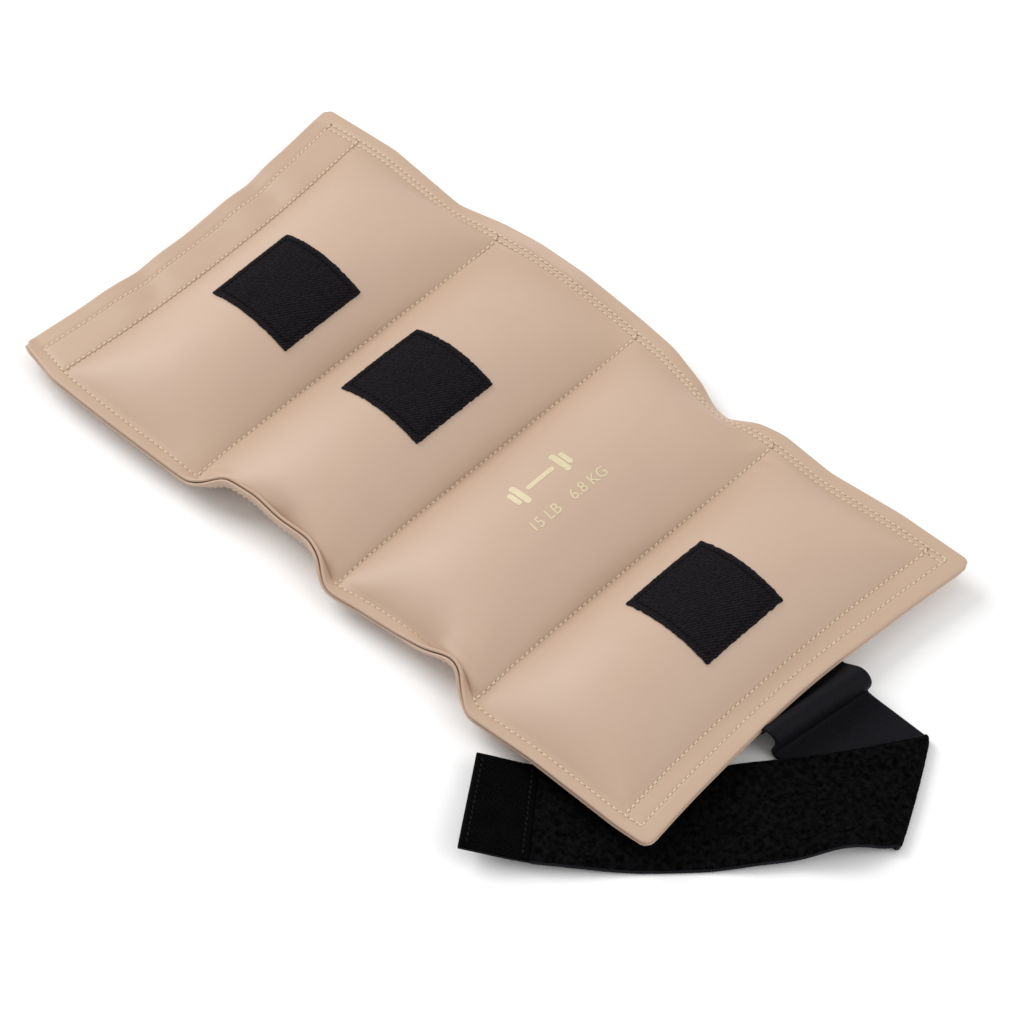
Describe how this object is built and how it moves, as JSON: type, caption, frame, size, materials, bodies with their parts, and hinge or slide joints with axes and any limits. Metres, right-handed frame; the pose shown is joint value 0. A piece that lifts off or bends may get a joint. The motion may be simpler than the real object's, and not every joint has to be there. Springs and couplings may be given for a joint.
{
  "type": "ankle cuff weight",
  "caption": "Flexible limb weight: a row of shot-filled vinyl pockets joined by sewn seams, with hook patches outside and a folded loop strap.",
  "frame": {"origin": "under the middle seam of the cuff, on the flat side that faces the limb", "axes": "+X along the cuff towards the strap, +Y across the cuff towards the double-sewn side, +Z out of the side with the hook patches"},
  "size_m": [0.4906, 0.2724, 0.034],
  "materials": {
    "vinyl": "smooth beige vinyl leathercloth with a soft sheen",
    "thread": "cream twisted polyester thread",
    "black_thread": "black polyester thread",
    "hook": "black woven hook tape in fine rows",
    "loop_pile": "black brushed loop pile",
    "webbing": "black smooth woven tape",
    "bag": "plain undyed shot bag",
    "shot": "dull steel shot"
  },
  "bodies": {
    "pocket_2": {"pocket_2_top_cover": "vinyl", "pocket_2_bottom_cover": "vinyl", "pocket_2_shot_bag": "bag", "pocket_2_shot_fill": "shot", "pocket_2_side_stitching": "thread", "pocket_2_hook_patch": "hook", "pocket_2_patch_stitching": "black_thread", "seam_1_thread": "thread", "seam_2_thread": "thread"},
    "pocket_1": {"pocket_1_top_cover": "vinyl", "pocket_1_bottom_cover": "vinyl", "pocket_1_shot_bag": "bag", "pocket_1_shot_fill": "shot", "pocket_1_side_stitching": "thread", "pocket_1_hook_patch": "hook", "pocket_1_patch_stitching": "black_thread", "seam_0_thread": "thread"},
    "pocket_3": {"pocket_3_top_cover": "vinyl", "pocket_3_bottom_cover": "vinyl", "pocket_3_shot_bag": "bag", "pocket_3_shot_fill": "shot", "pocket_3_side_stitching": "thread", "seam_3_thread": "thread"},
    "pocket_4": {"pocket_4_top_cover": "vinyl", "pocket_4_bottom_cover": "vinyl", "pocket_4_shot_bag": "bag", "pocket_4_shot_fill": "shot", "pocket_4_side_stitching": "thread", "pocket_4_hook_patch": "hook", "pocket_4_patch_stitching": "black_thread", "seam_4_thread": "thread"},
    "far_flap": {"far_flap_top_cover": "vinyl", "far_flap_bottom_cover": "vinyl", "far_flap_stitching": "thread"},
    "near_flap": {"near_flap_top_cover": "vinyl", "near_flap_bottom_cover": "vinyl", "near_flap_stitching": "thread", "strap_anchor_tab": "webbing", "strap_box_stitching": "black_thread"},
    "strap_lead": {"strap_lead_webbing": "webbing", "strap_lead_loop_pile": "loop_pile"},
    "strap_tail": {"strap_tail_webbing": "webbing", "strap_tail_loop_pile": "loop_pile", "strap_tip_hook_strip": "hook", "strap_tip_stitching": "black_thread"}
  },
  "joints": [
    {"name": "seam_1_bend", "type": "hinge", "parent": "pocket_2", "child": "pocket_1", "pos_m": [-0.092, 0, 0.012], "axis": [0, -1, 0], "range_deg": [-40, 80]},
    {"name": "seam_0_bend", "type": "hinge", "parent": "pocket_1", "child": "far_flap", "pos_m": [-0.184, 0, 0.012], "axis": [0, -1, 0], "range_deg": [-60, 75]},
    {"name": "seam_2_bend", "type": "hinge", "parent": "pocket_2", "child": "pocket_3", "pos_m": [0, 0, 0.012], "axis": [0, 1, 0], "range_deg": [-40, 80]},
    {"name": "seam_3_bend", "type": "hinge", "parent": "pocket_3", "child": "pocket_4", "pos_m": [0.092, 0, 0.012], "axis": [0, 1, 0], "range_deg": [-40, 80]},
    {"name": "seam_4_bend", "type": "hinge", "parent": "pocket_4", "child": "near_flap", "pos_m": [0.184, 0, 0.012], "axis": [0, 1, 0], "range_deg": [-60, 0]},
    {"name": "strap_lift", "type": "hinge", "parent": "near_flap", "child": "strap_lead", "pos_m": [0.2043, 0.0015, 0.0088], "axis": [0, -1, 0], "range_deg": [0, 85]},
    {"name": "strap_swing", "type": "hinge", "parent": "strap_lead", "child": "strap_tail", "pos_m": [0.2646, 0.0015, 0], "axis": [0, 0, 1], "range_deg": [0, 75]}
  ]
}
